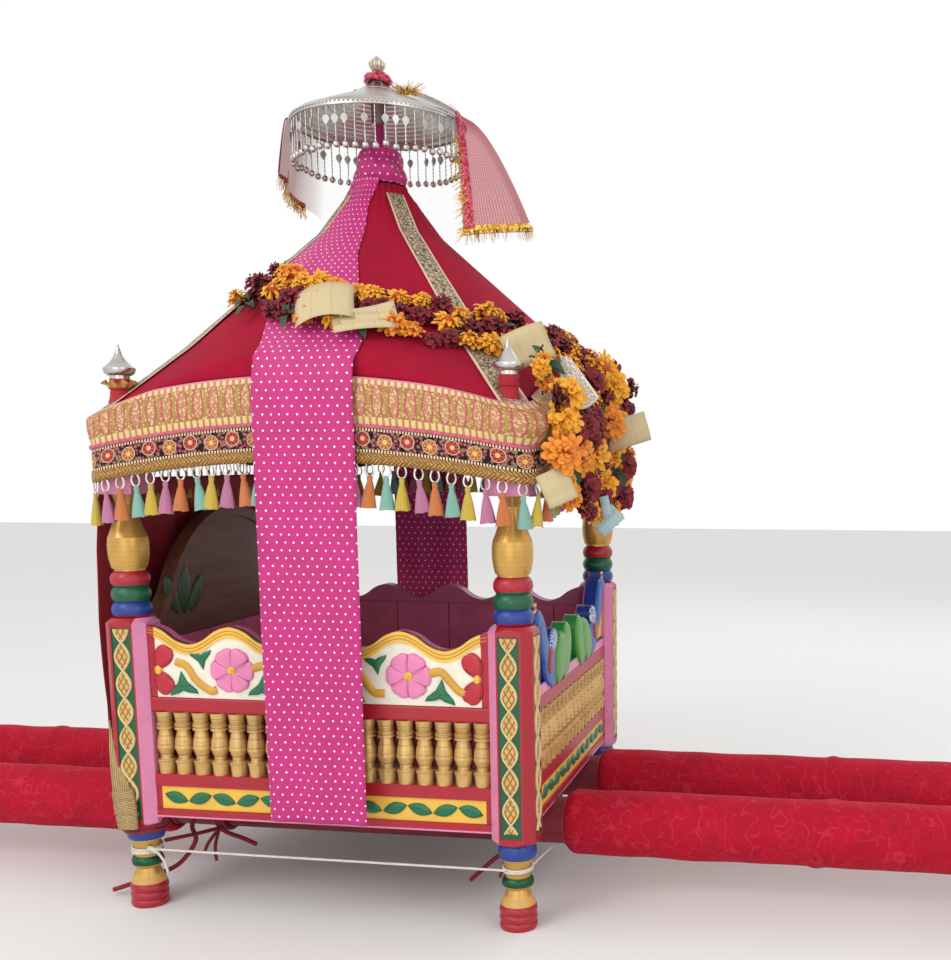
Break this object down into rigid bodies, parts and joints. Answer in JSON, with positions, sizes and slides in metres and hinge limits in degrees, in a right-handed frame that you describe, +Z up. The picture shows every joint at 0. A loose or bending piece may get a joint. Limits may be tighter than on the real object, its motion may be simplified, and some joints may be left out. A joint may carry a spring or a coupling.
{
  "type": "palanquin",
  "caption": "Carried shrine palanquin: square carved box on turned posts, two padded poles, tented velvet canopy with tassels and a parasol that turns.",
  "frame": {"origin": "centre of the box's plan, on the floor under the feet", "axes": "+X to the right along the front wall and the poles, -Y to the front, +Z up"},
  "size_m": [2.7, 0.6652, 1.254],
  "materials": {
    "post_paint": "gloss enamel on wood",
    "sleeve_cloth": "padded embossed red cloth",
    "pole_paint": "dark red paint",
    "rail_paint": "gloss enamel on wood",
    "gold_paint": "gold paint on turned wood",
    "lining_paint": "maroon paint",
    "crest_paint": "carved and painted",
    "headboard_wood": "carved and stained",
    "beam_paint": "pink paint",
    "bare_wood": "plain",
    "brocade": "woven brocade",
    "velvet": "velvet",
    "silver": "beaten silver",
    "red_cloth": "plain weave",
    "net": "net",
    "scarf_cloth": "printed dots",
    "marigold": "petals"
  },
  "bodies": {
    "box": {"canopy_cloth": "velvet", "corner_finials": "silver", "crown_block": "bare_wood", "floor_boards": "bare_wood", "floor_joists": "bare_wood", "front_balusters": "gold_paint", "front_beam": "beam_paint", "front_crest": "crest_paint", "front_eaves": "bare_wood", "front_lining": "lining_paint", "front_rails": "rail_paint", "front_valance": "brocade", "garland": "marigold", "left_balusters": "gold_paint", "left_beam": "beam_paint", "left_crest": "headboard_wood", "left_curtain": "red_cloth", "left_eaves": "bare_wood", "left_lining": "lining_paint", "left_rails": "rail_paint", "left_valance": "brocade", "pole_front": "pole_paint", "pole_rear": "pole_paint", "post_front_left": "post_paint", "post_front_right": "post_paint", "post_rear_left": "post_paint", "post_rear_right": "post_paint", "rafters": "bare_wood", "rear_balusters": "gold_paint", "rear_beam": "beam_paint", "rear_crest": "crest_paint", "rear_eaves": "bare_wood", "rear_lining": "lining_paint", "rear_rails": "rail_paint", "rear_valance": "brocade", "right_balusters": "gold_paint", "right_beam": "beam_paint", "right_crest": "crest_paint", "right_eaves": "bare_wood", "right_lining": "lining_paint", "right_rails": "rail_paint", "right_valance": "brocade", "scarf_front": "scarf_cloth", "scarf_knot": "scarf_cloth", "scarf_rear": "scarf_cloth", "sleeve_front_left": "sleeve_cloth", "sleeve_front_right": "sleeve_cloth", "sleeve_rear_left": "sleeve_cloth", "sleeve_rear_right": "sleeve_cloth", "umbrella_rod": "silver"},
    "parasol": {"finial_wrap": "red_cloth", "umbrella_dish": "silver", "umbrella_finial": "silver", "umbrella_pendants": "silver", "veil": "net"}
  },
  "joints": [
    {"name": "parasol_turn", "type": "hinge", "parent": "box", "child": "parasol", "pos_m": [0, 0, 1.18], "axis": [0, 0, 1], "continuous": true}
  ]
}
